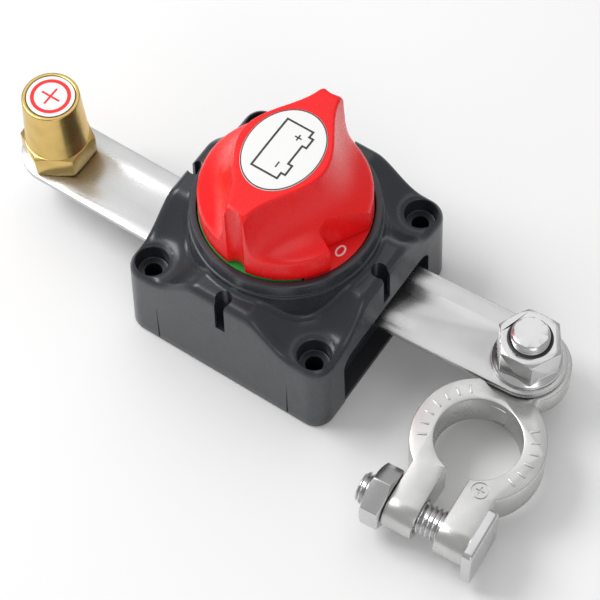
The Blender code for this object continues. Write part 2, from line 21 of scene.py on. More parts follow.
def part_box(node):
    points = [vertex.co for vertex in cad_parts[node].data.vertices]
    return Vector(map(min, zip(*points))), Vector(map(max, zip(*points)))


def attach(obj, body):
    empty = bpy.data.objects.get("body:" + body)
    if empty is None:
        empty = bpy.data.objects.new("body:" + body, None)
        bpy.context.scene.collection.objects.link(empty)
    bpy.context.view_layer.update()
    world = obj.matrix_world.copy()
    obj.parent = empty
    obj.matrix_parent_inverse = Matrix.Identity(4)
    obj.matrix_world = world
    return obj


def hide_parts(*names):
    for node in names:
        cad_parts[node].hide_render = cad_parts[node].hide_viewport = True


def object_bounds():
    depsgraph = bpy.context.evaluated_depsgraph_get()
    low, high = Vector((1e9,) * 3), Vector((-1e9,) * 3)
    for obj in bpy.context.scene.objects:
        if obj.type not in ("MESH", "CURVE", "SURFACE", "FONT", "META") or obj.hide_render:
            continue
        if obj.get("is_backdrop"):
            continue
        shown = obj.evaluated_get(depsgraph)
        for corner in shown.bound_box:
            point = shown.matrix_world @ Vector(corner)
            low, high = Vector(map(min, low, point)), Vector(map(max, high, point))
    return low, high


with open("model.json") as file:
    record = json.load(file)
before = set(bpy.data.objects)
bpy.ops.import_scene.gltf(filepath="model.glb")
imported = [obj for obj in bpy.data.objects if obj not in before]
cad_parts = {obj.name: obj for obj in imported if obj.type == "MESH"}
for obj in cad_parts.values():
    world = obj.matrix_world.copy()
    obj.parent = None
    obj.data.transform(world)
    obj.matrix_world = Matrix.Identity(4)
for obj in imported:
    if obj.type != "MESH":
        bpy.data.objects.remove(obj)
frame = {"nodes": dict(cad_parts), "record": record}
CAD_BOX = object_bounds()

MM = 0.001
LOG = logging.getLogger("battery_switch")
Object = bpy.types.Object
Point = tuple[float, float]
Place = tuple[float, float, float]


class Body(str, Enum):
    """The bodies that pieces ride on."""

    CASE = "case"
    KNOB = "turning_group"
    CLAMP = "clamp_group"
    PINCH_BOLT = "pinch_bolt_group"
    PINCH_NUT = "pinch_nut_group"


class Slot(str, Enum):
    """The record's material slots."""

    CASE = "case_plastic"
    BLACK = "black_plastic"
    RED = "red_plastic"
    GREEN_PRINT = "green_print"
    RED_PRINT = "red_print"
    WHITE_PRINT = "white_print"
    PLATE = "bright_plate"
    STEEL = "zinc_steel"
    COPPER = "contact_copper"
    BRASS = "brass"
    RUBBER = "black_rubber"


@lru_cache(maxsize=None)
def node_span(node: str) -> tuple[Vector, Vector]:
    """The lowest and highest corner of a frame node.

    Args:
        node: The node's name.

    Returns:
        Both corners in millimetres.
    """
    low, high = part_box(node)
    return Vector(low) / MM, Vector(high) / MM


def node_centre(node: str) -> Vector:
    """The middle of a frame node's box.

    Args:
        node: The node's name.

    Returns:
        The middle in millimetres.
    """
    low, high = node_span(node)
    return (low + high) / 2


# ---------------------------------------------------------------- shader maths


class Signal:
    """A shader value whose arithmetic adds Math nodes."""

    def __init__(self, shader: "Shader", socket: bpy.types.NodeSocket) -> None:
        """Wrap a socket of a shader."""
        self.shader = shader
        self.socket = socket

    def _math(self, operation: str, *values: "Signal | float") -> "Signal":
        """Add one Math node.

        Args:
            operation: The node's operation.
            values: Its inputs in order.

        Returns:
            The node's result.
        """
        return self.shader.add("ShaderNodeMath", {"operation": operation}, dict(enumerate(values)))

    def __add__(self, other: "Signal | float") -> "Signal":
        """This plus another."""
        return self._math("ADD", self, other)

    def __radd__(self, other: float) -> "Signal":
        """A number plus this."""
        return self._math("ADD", other, self)

    def __sub__(self, other: "Signal | float") -> "Signal":
        """This less another."""
        return self._math("SUBTRACT", self, other)

    def __rsub__(self, other: float) -> "Signal":
        """A number less this."""
        return self._math("SUBTRACT", other, self)

    def __mul__(self, other: "Signal | float") -> "Signal":
        """This times another."""
        return self._math("MULTIPLY", self, other)

    def __rmul__(self, other: float) -> "Signal":
        """A number times this."""
        return self._math("MULTIPLY", other, self)

    def wave(self) -> "Signal":
        """The sine of this."""
        return self._math("SINE", self)


class Shader:
    """A material with one Principled surface and the nodes that feed it."""

    def __init__(self, name: str) -> None:
        """Start a material.

        Args:
            name: The material's name.
        """
        self.material = bpy.data.materials.new(name)
        self.material.use_nodes = True
        self.nodes = self.material.node_tree.nodes
        self.links = self.material.node_tree.links
        self.surface = self.nodes["Principled BSDF"]
        self.place = self.add("ShaderNodeTexCoord", output="Object")

    def add(
        self,
        kind: str,
        settings: dict[str, object] | None = None,
        inputs: dict[str | int, object] | None = None,
        output: str | int = 0,
    ) -> Signal:
        """Add a node.

        Args:
            kind: The node's type.
            settings: Its own settings, set before its inputs; "stops" are a ramp's stops.
            inputs: Values or signals by socket name or number.
            output: The output to return.

        Returns:
            That output as a signal.
        """
        node = self.nodes.new(kind)
        for key, value in (settings or {}).items():
            if key == "stops":
                self._set_stops(node, value)
            else:
                setattr(node, key, value)
        for key, value in (inputs or {}).items():
            socket = self._find(node.inputs, key)
            if isinstance(value, Signal):
                self.links.new(value.socket, socket)
            else:
                socket.default_value = value
        return Signal(self, self._find(node.outputs, output))

    @staticmethod
    def _find(sockets: Iterable[bpy.types.NodeSocket], key: str | int) -> bpy.types.NodeSocket:
        """The enabled socket with a name, or the socket at a number."""
        if isinstance(key, int):
            return sockets[key]
        return next(socket for socket in sockets if socket.name == key and socket.enabled)

    @staticmethod
    def _set_stops(node: bpy.types.Node, stops: Sequence[tuple[float, float]]) -> None:
        """Set a colour ramp's stops.

        Args:
            node: The ramp.
            stops: Positions and grey values.
        """
        elements = node.color_ramp.elements
        while len(elements) < len(stops):
            elements.new(0.5)
        for element, (position, value) in zip(elements, stops):
            element.position = position
            element.color = (value, value, value, 1.0)

    def noise(self, size: float, detail: float = 2.0, stretch: Place = (1, 1, 1)) -> Signal:
        """A noise pattern fixed to the piece.

        Args:
            size: The width of its lumps in millimetres.
            detail: How many finer layers it has.
            stretch: How much closer together its lumps are along each axis.

        Returns:
            The pattern, about 0 to 1.
        """
        scale = tuple(along / (size * MM) for along in stretch)
        place = self.add("ShaderNodeMapping", inputs={"Vector": self.place, "Scale": scale})
        return self.add(
            "ShaderNodeTexNoise", inputs={"Vector": place, "Scale": 1.0, "Detail": detail}, output="Fac"
        )

    def ramp(self, value: Signal, *stops: tuple[float, float]) -> Signal:
        """Map a value through grey stops."""
        return self.add("ShaderNodeValToRGB", {"stops": stops}, {"Fac": value})

    def blend(self, factor: Signal, first: Place, second: Place) -> Signal:
        """Mix two colours.

        Args:
            factor: How much of the second there is.
            first: The colour at 0.
            second: The colour at 1.

        Returns:
            The mixed colour.
        """
        return self.add(
            "ShaderNodeMix",
            {"data_type": "RGBA"},
            {"Factor": factor, "A": (*first, 1.0), "B": (*second, 1.0)},
            output="Result",
        )

    def relief(self, height: Signal, depth: float) -> None:
        """Feed the surface's normal.

        Args:
            height: The pattern that stands out.
            depth: How far it stands out in millimetres.
        """
        inputs = {"Height": height, "Distance": depth * MM, "Strength": 1.0}
        self.feed(Normal=self.add("ShaderNodeBump", inputs=inputs))

    def feed(self, **signals: Signal) -> None:
        """Link signals to the surface, with underscores for spaces in its sockets' names."""
        for name, signal in signals.items():
            self.links.new(signal.socket, self.surface.inputs[name.replace("_", " ")])

    def set(self, **values: float) -> None:
        """Set plain values on the surface's own sockets."""
        for name, value in values.items():
            self.surface.inputs[name.replace("_", " ")].default_value = value


def shade(colour: Place, factor: float) -> Place:
    """A colour made darker or lighter."""
    return (colour[0] * factor, colour[1] * factor, colour[2] * factor)


# ---------------------------------------------------------------- finishes


@dataclass(frozen=True)
class Moulded:
    """A moulded plastic with a fine spark-eroded grain."""

    name: str
    colour: Place
    roughness: float = 0.36
    grain: float = 0.22
    depth: float = 0.008
    shine: float = 0.5

    def material(self) -> bpy.types.Material:
        """The finish as a material."""
        shader = Shader(self.name)
        cloud = shader.ramp(shader.noise(26, 3), (0.3, 0.0), (0.7, 1.0))
        grain = shader.noise(self.grain, 2)
        scuffs = shader.ramp(shader.noise(3.5, 4, (1, 1, 0.35)), (0.55, 0.0), (0.75, 1.0))
        shader.feed(
            Base_Color=shader.blend(cloud, shade(self.colour, 0.93), shade(self.colour, 1.07)),
            Roughness=self.roughness + (grain - 0.5) * 0.1 + scuffs * 0.07,
        )
        shader.relief(grain, self.depth)
        shader.set(Specular_IOR_Level=self.shine)
        return shader.material


@dataclass(frozen=True)
class Plated:
    """A bright plated metal with faint drawn lines and a little haze."""

    name: str
    colour: Place
    roughness: float = 0.2
    lines: Place = (0.04, 1.0, 1.0)
    line_size: float = 0.35
    depth: float = 0.004

    def material(self) -> bpy.types.Material:
        """The finish as a material."""
        shader = Shader(self.name)
        haze = shader.ramp(shader.noise(14, 4), (0.35, 0.0), (0.7, 1.0))
        lines = shader.noise(self.line_size, 3, self.lines)
        shader.feed(
            Base_Color=shader.blend(haze, self.colour, shade(self.colour, 0.93)),
            Roughness=self.roughness + haze * 0.08 + (lines - 0.5) * 0.1,
        )
        shader.relief(lines, self.depth)
        shader.set(Metallic=1.0)
        return shader.material


@dataclass(frozen=True)
class Cast:
    """A plated casting, with the soft unevenness of its mould under the plate."""

    name: str
    colour: Place
    roughness: float = 0.26

    def material(self) -> bpy.types.Material:
        """The finish as a material."""
        shader = Shader(self.name)
        lumps = shader.noise(2.2, 3)
        pits = shader.noise(0.5, 2)
        haze = shader.ramp(shader.noise(9, 3), (0.35, 0.0), (0.7, 1.0))
        shader.feed(
            Base_Color=shader.blend(haze, self.colour, shade(self.colour, 0.9)),
            Roughness=self.roughness + haze * 0.1 + (pits - 0.5) * 0.12,
        )
        shader.relief(lumps * 0.7 + pits * 0.3, 0.011)
        shader.set(Metallic=1.0)
        return shader.material


@dataclass(frozen=True)
class Turned:
    """A metal turned on a lathe about an axis along Z, with lines that follow the height."""

    name: str
    colour: Place
    roughness: float = 0.2
    pitch: float = 0.28

    def material(self) -> bpy.types.Material:
        """The finish as a material."""
        shader = Shader(self.name)
        height = shader.add("ShaderNodeSeparateXYZ", inputs={0: shader.place}, output="Z")
        waver = shader.noise(4, 2)
        lines = (height * (2 * math.pi / (self.pitch * MM)) + waver * 1.5).wave()
        tarnish = shader.ramp(shader.noise(7, 4), (0.35, 0.0), (0.75, 1.0))
        shader.feed(
            Base_Color=shader.blend(tarnish, self.colour, shade(self.colour, 0.82)),
            Roughness=self.roughness + tarnish * 0.1 + lines * 0.02,
        )
        shader.relief(lines * 0.5 + 0.5, 0.004)
        shader.set(Metallic=1.0)
        return shader.material


@dataclass(frozen=True)
class Printed:
    """Ink or label stock, flat and even."""

    name: str
    colour: Place
    roughness: float = 0.42

    def material(self) -> bpy.types.Material:
        """The finish as a material."""
        shader = Shader(self.name)
        fibre = shader.noise(0.4, 3)
        shader.feed(
            Base_Color=shader.blend(fibre, shade(self.colour, 0.97), shade(self.colour, 1.02)),
            Roughness=self.roughness + (fibre - 0.5) * 0.08,
        )
        shader.relief(fibre, 0.002)
        return shader.material


@dataclass(frozen=True)
class Rubber:
    """A dull moulded rubber."""

    name: str
    colour: Place = (0.014, 0.014, 0.015)

    def material(self) -> bpy.types.Material:
        """The finish as a material."""
        shader = Shader(self.name)
        bloom = shader.noise(2.0, 4)
        shader.feed(
            Base_Color=shader.blend(bloom, self.colour, shade(self.colour, 1.6)),
            Roughness=0.66 + bloom * 0.15,
        )
        shader.relief(shader.noise(0.3, 2), 0.01)
        return shader.material


class Paintbox:
    """Every material of the switch, made once."""

    def __init__(self) -> None:
        """Make the materials."""
        self.case = Moulded("case_satin", (0.027, 0.030, 0.038), 0.28, depth=0.006).material()
        self.black = Moulded("black_matt", (0.02, 0.021, 0.024), 0.5, depth=0.012).material()
        self.red = Moulded("red_gloss", (0.92, 0.008, 0.010), 0.27, depth=0.002, shine=0.35).material()
        self.green_print = Printed("green_ink", (0.015, 0.36, 0.065)).material()
        self.red_print = Printed("red_ink", (0.92, 0.012, 0.014)).material()
        self.white_print = Printed("white_label", (0.88, 0.88, 0.87)).material()
        self.dark_print = Printed("dark_ink", (0.03, 0.03, 0.035)).material()
        self.bar = Plated("bright_bar", (0.59, 0.59, 0.59), 0.26).material()
        self.cast = Cast("plated_casting", (0.62, 0.62, 0.61)).material()
        self.steel = Plated("bright_zinc", (0.66, 0.66, 0.66), 0.2, (1, 1, 1), 1.2, 0.006).material()
        self.copper = Plated("contact_copper", (0.86, 0.46, 0.31), 0.28, (1, 1, 1), 1.0).material()
        self.brass = Turned("turned_brass", (0.70, 0.49, 0.17)).material()
        self.rubber = Rubber("seal_rubber").material()


# ---------------------------------------------------------------- modelling


def deselect() -> None:
    """Leave edit mode and select nothing."""
    if bpy.context.mode != "OBJECT":
        bpy.ops.object.mode_set(mode="OBJECT")
    bpy.ops.object.select_all(action="DESELECT")


def pick(piece: Object) -> None:
    """Make one piece the only selected and active one."""
    deselect()
    piece.select_set(True)
    bpy.context.view_layer.objects.active = piece


def bake_place(piece: Object, where: Matrix | None = None) -> Object:
    """Put a piece's place into its mesh.

    Args:
        piece: The piece.
        where: A further placing, in millimetres.

    Returns:
        The piece, with its object at the origin.
    """
    pick(piece)
    bpy.ops.object.transform_apply(location=True, rotation=True, scale=True)
    if where is not None:
        placed = where.copy()
        placed.translation = where.translation * MM
        piece.data.transform(placed)
    return piece


def edit_all(piece: Object, *steps: Callable[[], object]) -> Object:
    """Run edit-mode steps on the whole of a piece.

    Args:
        piece: The piece.
        steps: Calls to make with everything selected.

    Returns:
        The piece.
    """
    pick(piece)
    bpy.ops.object.mode_set(mode="EDIT")
    bpy.ops.mesh.select_all(action="SELECT")
    for step in steps:
        step()
    bpy.ops.object.mode_set(mode="OBJECT")
    return piece


def tidy_surface(piece: Object) -> Object:
    """Merge doubled points and turn every face outwards."""
    return edit_all(
        piece,
        lambda: bpy.ops.mesh.remove_doubles(threshold=0.000002),
        lambda: bpy.ops.mesh.normals_make_consistent(inside=False),
    )


def lofted(name: str, columns: int, rows: int, place: Callable[[int, int], Sequence[float]]) -> Object:
    """A grid bent into a surface.

    Args:
        name: The piece's name.
        columns: Steps along the first direction.
        rows: Steps along the second direction.
        place: Gives a point in millimetres for a column and a row.

    Returns:
        The piece, with seams closed and faces outwards.
    """
    deselect()
    bpy.ops.mesh.primitive_grid_add(x_subdivisions=columns, y_subdivisions=rows, size=2)
    piece = bpy.context.object
    piece.name = name
    for vert in piece.data.vertices:
        column = round((vert.co.x + 1) / 2 * columns)
        row = round((vert.co.y + 1) / 2 * rows)
        vert.co = Vector(place(column, row)) * MM
    return tidy_surface(piece)


def turned(
    name: str, profile: Sequence[Point], where: Matrix | None = None, spokes: int = 96, closed: bool = False
) -> Object:
    """A profile of radii and heights turned about Z.

    Args:
        name: The piece's name.
        profile: Its points, from axis to axis unless closed.
        where: Its place.
        spokes: Steps round the turn.
        closed: Whether the last point joins the first.

    Returns:
        The piece.
    """
    points = [*profile, profile[0]] if closed else list(profile)

    def place(column: int, row: int) -> Place:
        """One point of the turned surface."""
        turn = 2 * math.pi * (column % spokes) / spokes
        radius, height = points[row]
        return radius * math.cos(turn), radius * math.sin(turn), height

    return bake_place(lofted(name, spokes, len(points) - 1, place), where)


def eased(points: Sequence[Point], radius: float, steps: int = 4) -> list[Point]:
    """Round the inner corners of a profile.

    Args:
        points: The profile.
        radius: How far from each corner the rounding starts.
        steps: Points in each rounding.

    Returns:
        The rounded profile.
    """
    made = [points[0]]
    for before, corner, after in zip(points, points[1:], points[2:]):
        here = Vector(corner)
        back, ahead = Vector(before) - here, Vector(after) - here
        start = here + back.normalized() * min(radius, back.length * 0.48)
        end = here + ahead.normalized() * min(radius, ahead.length * 0.48)
        for i in range(steps + 1):
            t = i / steps
            spot = start * (1 - t) ** 2 + here * (2 * t * (1 - t)) + end * t**2
            made.append((spot.x, spot.y))
    made.append(points[-1])
    return made


def arc(radius: float, start: float, end: float, steps: int, at: Point = (0.0, 0.0)) -> list[Point]:
    """Points along an arc.

    Args:
        radius: Its radius.
        start: Its first angle in degrees.
        end: Its last angle in degrees.
        steps: Steps between them.
        at: Its centre.

    Returns:
        The points, both ends included.
    """
    turns = (math.radians(start + (end - start) * i / steps) for i in range(steps + 1))
    return [(at[0] + radius * math.cos(t), at[1] + radius * math.sin(t)) for t in turns]


def slab(name: str, outline: Sequence[Point], z: Point, where: Matrix | None = None) -> Object:
    """A flat plate extruded from its outline.

    Args:
        name: The piece's name.
        outline: Its corners in order.
        z: Its lower and upper face.
        where: Its place.

    Returns:
        The piece.
    """
    deselect()
    bpy.ops.mesh.primitive_circle_add(vertices=len(outline), radius=1, fill_type="NGON")
    piece = bpy.context.object
    piece.name = name
    for vert, (x, y) in zip(piece.data.vertices, outline):
        vert.co = Vector((x, y, z[0])) * MM
    rise = (0, 0, (z[1] - z[0]) * MM)
    edit_all(
        piece,
        lambda: bpy.ops.mesh.extrude_region_move(TRANSFORM_OT_translate={"value": rise}),
        lambda: bpy.ops.mesh.select_all(action="SELECT"),
        lambda: bpy.ops.mesh.normals_make_consistent(inside=False),
    )
    return bake_place(piece, where)


def rod(
    name: str, radius: float, z: Point, where: Matrix | None = None, at: Point = (0.0, 0.0), sides: int = 64
) -> Object:
    """A standing cylinder, used as a start or a cutter.

    Args:
        name: The piece's name.
        radius: Its radius.
        z: Its lower and upper end.
        where: Its place.
        at: Its axis.
        sides: Its number of sides.

    Returns:
        The piece.
    """
    deselect()
    bpy.ops.mesh.primitive_cylinder_add(
        vertices=sides,
        radius=radius * MM,
        depth=(z[1] - z[0]) * MM,
        location=(at[0] * MM, at[1] * MM, (z[0] + z[1]) / 2 * MM),
    )
    piece = bpy.context.object
    piece.name = name
    return bake_place(piece, where)


def block(name: str, x: Point, y: Point, z: Point, where: Matrix | None = None) -> Object:
    """A box between two values on each axis, used as a start or a cutter."""
    outline = [(x[0], y[0]), (x[1], y[0]), (x[1], y[1]), (x[0], y[1])]
    return slab(name, outline, z, where)


def combine(piece: Object, others: Iterable[Object], operation: str, solver: str = "EXACT") -> Object:
    """Join, cut or trim a piece with others and remove them.

    Args:
        piece: The piece.
        others: The other shapes.
        operation: UNION, DIFFERENCE or INTERSECT.
        solver: The Boolean solver.

    Returns:
        The piece.
    """
    for other in others:
        pick(piece)
        modifier = piece.modifiers.new(other.name, "BOOLEAN")
        modifier.operation = operation
        modifier.solver = solver
        modifier.object = other
        bpy.ops.object.modifier_apply(modifier=modifier.name)
        bpy.data.objects.remove(other, do_unlink=True)
    return piece


def cut(piece: Object, *others: Object, solver: str = "EXACT") -> Object:
    """Cut shapes from a piece."""
    return combine(piece, others, "DIFFERENCE", solver)


def unite(piece: Object, *others: Object, solver: str = "EXACT") -> Object:
    """Join shapes to a piece."""
    return combine(piece, others, "UNION", solver)


def trim(piece: Object, *others: Object) -> Object:
    """Keep only what lies inside other shapes."""
    return combine(piece, others, "INTERSECT")


def soften(piece: Object, width: float, segments: int = 2, angle: float = 35.0) -> Object:
    """Bevel a piece's sharp edges.

    Args:
        piece: The piece.
        width: The bevel's width.
        segments: Its steps.
        angle: The smallest angle that is bevelled, in degrees.

    Returns:
        The piece.
    """
    edit_all(
        piece,
        lambda: bpy.ops.mesh.remove_doubles(threshold=0.00002),
        lambda: bpy.ops.mesh.dissolve_limited(angle_limit=math.radians(0.5)),
    )
    pick(piece)
    modifier = piece.modifiers.new("soft_edges", "BEVEL")
    modifier.width = width * MM
    modifier.segments = segments
    modifier.limit_method = "ANGLE"
    modifier.angle_limit = math.radians(angle)
    modifier.use_clamp_overlap = False
    bpy.ops.object.modifier_apply(modifier=modifier.name)
    return piece


def smooth(piece: Object, angle: float = 30.0) -> Object:
    """Shade round faces smooth and keep sharper edges."""
    pick(piece)
    bpy.ops.object.shade_smooth_by_angle(angle=math.radians(angle))
    return piece


def bevel_edges(piece: Object, chosen: Callable[[Vector, Vector], bool], width: float, steps: int) -> Object:
    """Bevel the edges whose two ends pass a test.

    Args:
        piece: The piece.
        chosen: The test, on both ends in millimetres.
        width: The bevel's width.
        steps: Its segments.

    Returns:
        The piece.
    """
    pick(piece)
    bpy.ops.object.mode_set(mode="EDIT")
    bpy.ops.mesh.select_mode(type="EDGE")
    bpy.ops.mesh.select_all(action="DESELECT")
    bpy.ops.object.mode_set(mode="OBJECT")
    verts = piece.data.vertices
    for edge in piece.data.edges:
        first, second = (verts[i].co / MM for i in edge.vertices)
        edge.select = chosen(first, second)
    bpy.ops.object.mode_set(mode="EDIT")
    bpy.ops.mesh.bevel(offset=width * MM, segments=steps, affect="EDGES", clamp_overlap=False)
    bpy.ops.object.mode_set(mode="OBJECT")
    return piece


def hexagon(name: str, flats: float, z: Point, turn: float, chamfer: str = "both") -> Object:
    """A hexagon whose corners are turned off as on a nut.

    Args:
        name: The piece's name.
        flats: Its width across flats.
        z: Its lower and upper face.
        turn: The angle of a corner in degrees.
        chamfer: Which ends are turned off: both, top or low.

    Returns:
        The piece, on the Z axis.
    """
    corner = flats / math.sqrt(3)
    outline = arc(corner, turn, turn + 300, 5)
    piece = slab(name, outline, z)
    slope = math.tan(math.radians(24))
    inner = flats / 2 * 1.0
    drop = (corner + 1 - inner) * slope
    low = [(inner, z[0]), (corner + 1, z[0] + drop)] if chamfer != "top" else [(corner + 1, z[0])]
    high = [(corner + 1, z[1] - drop), (inner, z[1])] if chamfer != "low" else [(corner + 1, z[1])]
    envelope = turned(name + "_envelope", [(0, z[0]), *low, *high, (0, z[1])])
    return trim(piece, envelope)


def threaded(
    name: str, radius: float, pitch: float, z: Point, tip: float = 0.0, depth: float = 0.62
) -> Object:
    """A screw thread on the Z axis, cut as a helix.

    Args:
        name: The piece's name.
        radius: Its outer radius.
        pitch: Its pitch.
        z: Its lower and upper end.
        tip: The length of the chamfer at the upper end.
        depth: The thread's depth as a part of the pitch.

    Returns:
        The piece, closed at both ends.
    """
    spokes, per_turn = 48, 8
    rows = math.ceil((z[1] - z[0]) / pitch + 1) * per_turn
    core = radius - depth * pitch

    def place(column: int, row: int) -> Place:
        """One point of the thread's surface or of its ends, whose rows climb with the turn."""
        turn = 2 * math.pi * column / spokes
        step = min(max(row - 1, 0), rows)
        free = z[0] + pitch * (step / per_turn - 1 + column / spokes)
        height = min(max(free, z[0]), z[1])
        phase = step % per_turn / per_turn
        reach = core + (radius - core) * min(1.0, 1.25 * (1 - abs(2 * phase - 1)))
        if height != free:
            reach = core
        if tip:
            reach = min(reach, radius - tip + max(0.0, z[1] - height))
        if row in (0, rows + 2):
            reach = 0.0
            height = z[0] if row == 0 else z[1]
        return reach * math.cos(turn), reach * math.sin(turn), height

    return lofted(name, spokes, rows + 2, place)


def present(piece: Object, body: Body, slot: Slot, finish: bpy.types.Material, *stands_for: str) -> Object:
    """Give a piece its finish and body, and hide the frame nodes that it replaces.

    Args:
        piece: The piece.
        body: The body that it rides on.
        slot: The record's slot that it takes its finish from; not used.
        finish: Its material.
        stands_for: The frame nodes that it replaces.

    Returns:
        The piece.
    """
    piece.data.materials.clear()
    piece.data.materials.append(finish)
    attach(piece, body.value)
    if stands_for:
        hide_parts(*stands_for)
    LOG.info("%s rides on %s with %d faces", piece.name, body.value, len(piece.data.polygons))
    return piece


# ---------------------------------------------------------------- housing


@dataclass
class Housing:
    """The moulded case: drafted walls, dipping shoulders and a round collar."""

    draft: float = 0.019
    corner: float = 5.8
    shoulder: float = 40.3
    boss: float = 30.6
    edge: float = 2.8
    hole_offset: float = 27.7
    collar: float = 27.2
    collar_foot: float = 27.8
    collar_step: float = 43.0
    fillet: float = 1.7
    seat: float = 45.3
    recess: float = 25.1
    wall: float = 2.1
    opening: float = 22.3
    opening_top: float = 23.6
    inner_wall: Point = (28.0, 29.7)
    chamber: Place = (22.5, 23.3, 43.3)
    spokes: int = 432

    def half(self, z: float) -> float:
        """Half the width of the walls at a height."""
        return node_span("housing")[1].x - self.draft * z

    def reach(self, turn: float, half: float, radius: float) -> float:
        """How far a rounded square reaches along a direction.

        Args:
            turn: The direction in radians.
            half: Half the square's width.
            radius: Its corner radius.

        Returns:
            The distance from the centre.
        """
        along, across = sorted((abs(math.cos(turn)), abs(math.sin(turn))), reverse=True)
        straight = half / along
        if straight * across <= half - radius:
            return straight
        middle = half - radius
        lean = middle * (along + across)
        return lean + math.sqrt(max(0.0, lean**2 - 2 * middle**2 + radius**2))

    def shoulder_height(self, x: float, y: float) -> float:
        """The height of the shoulder, which dips to a boss round each hole."""
        away = math.hypot(abs(x) - self.hole_offset, abs(y) - self.hole_offset)
        rise = min(1.0, max(0.0, (away - 6.0) / 14.0))
        return self.boss + (self.shoulder - self.boss) * rise * rise * (3 - 2 * rise)

    def shell(self) -> Object:
        """The whole outside as one surface of rings, from the recess to the rear face."""
        top = node_span("housing")[1].z
        rim = eased(
            [
                (0.0, self.seat),
                (self.recess, self.seat),
                (self.recess, top),
                (self.collar, top),
                (self.collar, self.collar_step),
                (self.collar_foot, self.collar_step),
                (self.collar_foot, self.shoulder + self.fillet),
            ],
            0.45,
            3,
        )
        turns, across, rolls, down = 8, 16, 10, 10
        rings = len(rim) + turns + across + rolls + down + 3

        def place(column: int, row: int) -> Place:
            """One point of the shell."""
            turn = 2 * math.pi * (column % self.spokes) / self.spokes
            unit = Vector((math.cos(turn), math.sin(turn)))
            if row < len(rim):
                return (*(unit * rim[row][0]), rim[row][1])
            row -= len(rim)
            foot = unit * (self.collar_foot + self.fillet)
            if row < turns:
                lift = math.pi / 2 * (row + 1) / turns
                floor = self.shoulder_height(*foot)
                spread = self.collar_foot + self.fillet * (1 - math.cos(lift))
                return (*(unit * spread), floor + self.fillet * (1 - math.sin(lift)))
            row -= turns
            outer = self.half(self.shoulder)
            edge = unit * self.reach(turn, outer - self.edge, self.corner - self.edge)
            if row < across:
                spot = foot.lerp(edge, (row + 1) / across)
                return (*spot, self.shoulder_height(*spot))
            row -= across
            if row < rolls:
                roll = math.pi / 2 * (row + 1) / rolls
                inset = self.edge * (1 - math.sin(roll))
                spot = unit * self.reach(turn, outer - inset, self.corner - inset)
                drop = self.edge * (1 - math.cos(roll))
                height = self.shoulder_height(*spot) - drop
                spot = unit * self.reach(turn, self.half(height) - inset, self.corner - inset)
                return (*spot, height)
            row -= rolls
            wall_top = self.shoulder_height(*(unit * self.reach(turn, outer, self.corner))) - self.edge
            if row < down:
                height = wall_top + (0.5 - wall_top) * (row + 1) / down
                return (*(unit * self.reach(turn, self.half(height), self.corner)), height)
            row -= down
            if row == 0:
                return (*(unit * self.reach(turn, self.half(0) - 0.1, self.corner)), 0.1)
            if row == 1:
                return (*(unit * self.reach(turn, self.half(0) - 0.5, self.corner - 0.4)), 0.0)
            return (0.0, 0.0, 0.0)

        return lofted("case_moulding", self.spokes, rings - 1, place)

    def cutters(self) -> Iterable[Object]:
        """Every hollow of the housing."""
        radius, floor, top = self.chamber
        yield turned(
            "chamber",
            [(0, 60), (10.6, 60), (10.6, top), (radius, top), (radius, floor - 1), (0, floor - 1)],
        )
        yield rod("seal_well", 13.1, (43.9, self.seat + 1))
        inner, outer = self.inner_wall
        side = self.half(0) - self.wall
        yield block("cavity_x", (-inner, inner), (-self.opening, self.opening), (-1, floor))
        yield block("cavity_y", (-self.opening, self.opening), (-side, side), (-1, floor))
        yield block("cover_seat", (-outer - 0.1, outer + 0.1), (-self.opening, self.opening), (-1, 2.3))
        mouth = [(-self.opening, -1.0), (self.opening, -1.0)]
        round_in = self.opening - 5
        mouth += arc(5, 0, 90, 8, (round_in, self.opening_top - 5))
        mouth += arc(5, 90, 180, 8, (-round_in, self.opening_top - 5))
        stand = Matrix(((0, 0, 1, 0), (1, 0, 0, 0), (0, 1, 0, 0), (0, 0, 0, 1)))
        for side_turn in (0, 180):
            spin = Matrix.Rotation(math.radians(side_turn), 4, "Z")
            yield slab(f"mouth_{side_turn}", mouth, (outer, 40), spin @ stand)
            yield block(f"passage_{side_turn}", (20, 31), (-7.5, 21), (8, floor - 1), spin)
        well = eased([(6.4, 34), (6.4, self.boss + 0.2), (4.7, self.boss - 0.6), (4.7, 24.5), (0, 24.5)], 0.5)
        for quarter in range(4):
            spin = Matrix.Rotation(math.radians(90 * quarter), 4, "Z")
            here = spin @ Matrix.Translation((self.hole_offset, self.hole_offset, 0))
            yield turned(f"screw_well_{quarter}", [(0, 34), *well], here, 48)
            yield rod(f"screw_hole_{quarter}", 2.6, (-1, 26), here, sides=32)
            slot = arc(2.4, 42, 318, 24, (31.2, 0)) + [(40, -1.6), (40, 1.6)]
            yield slab(f"keyway_{quarter}", slot, (26.5, 50), spin)
        for sign in (1, -1):
            for x in (-22.6, 22.6):
                wall = sorted((sign * (self.half(0) - 0.35), sign * 36))
                yield block(f"score_{sign}_{x}", (x - 0.25, x + 0.25), tuple(wall), (1.3, 21.2))

    def build(self, paints: Paintbox) -> None:
        """Make and dress the housing."""
        shell = cut(self.shell(), *self.cutters(), solver="MANIFOLD")
        present(smooth(tidy_surface(shell)), Body.CASE, Slot.CASE, paints.case, "housing")


# ---------------------------------------------------------------- knob


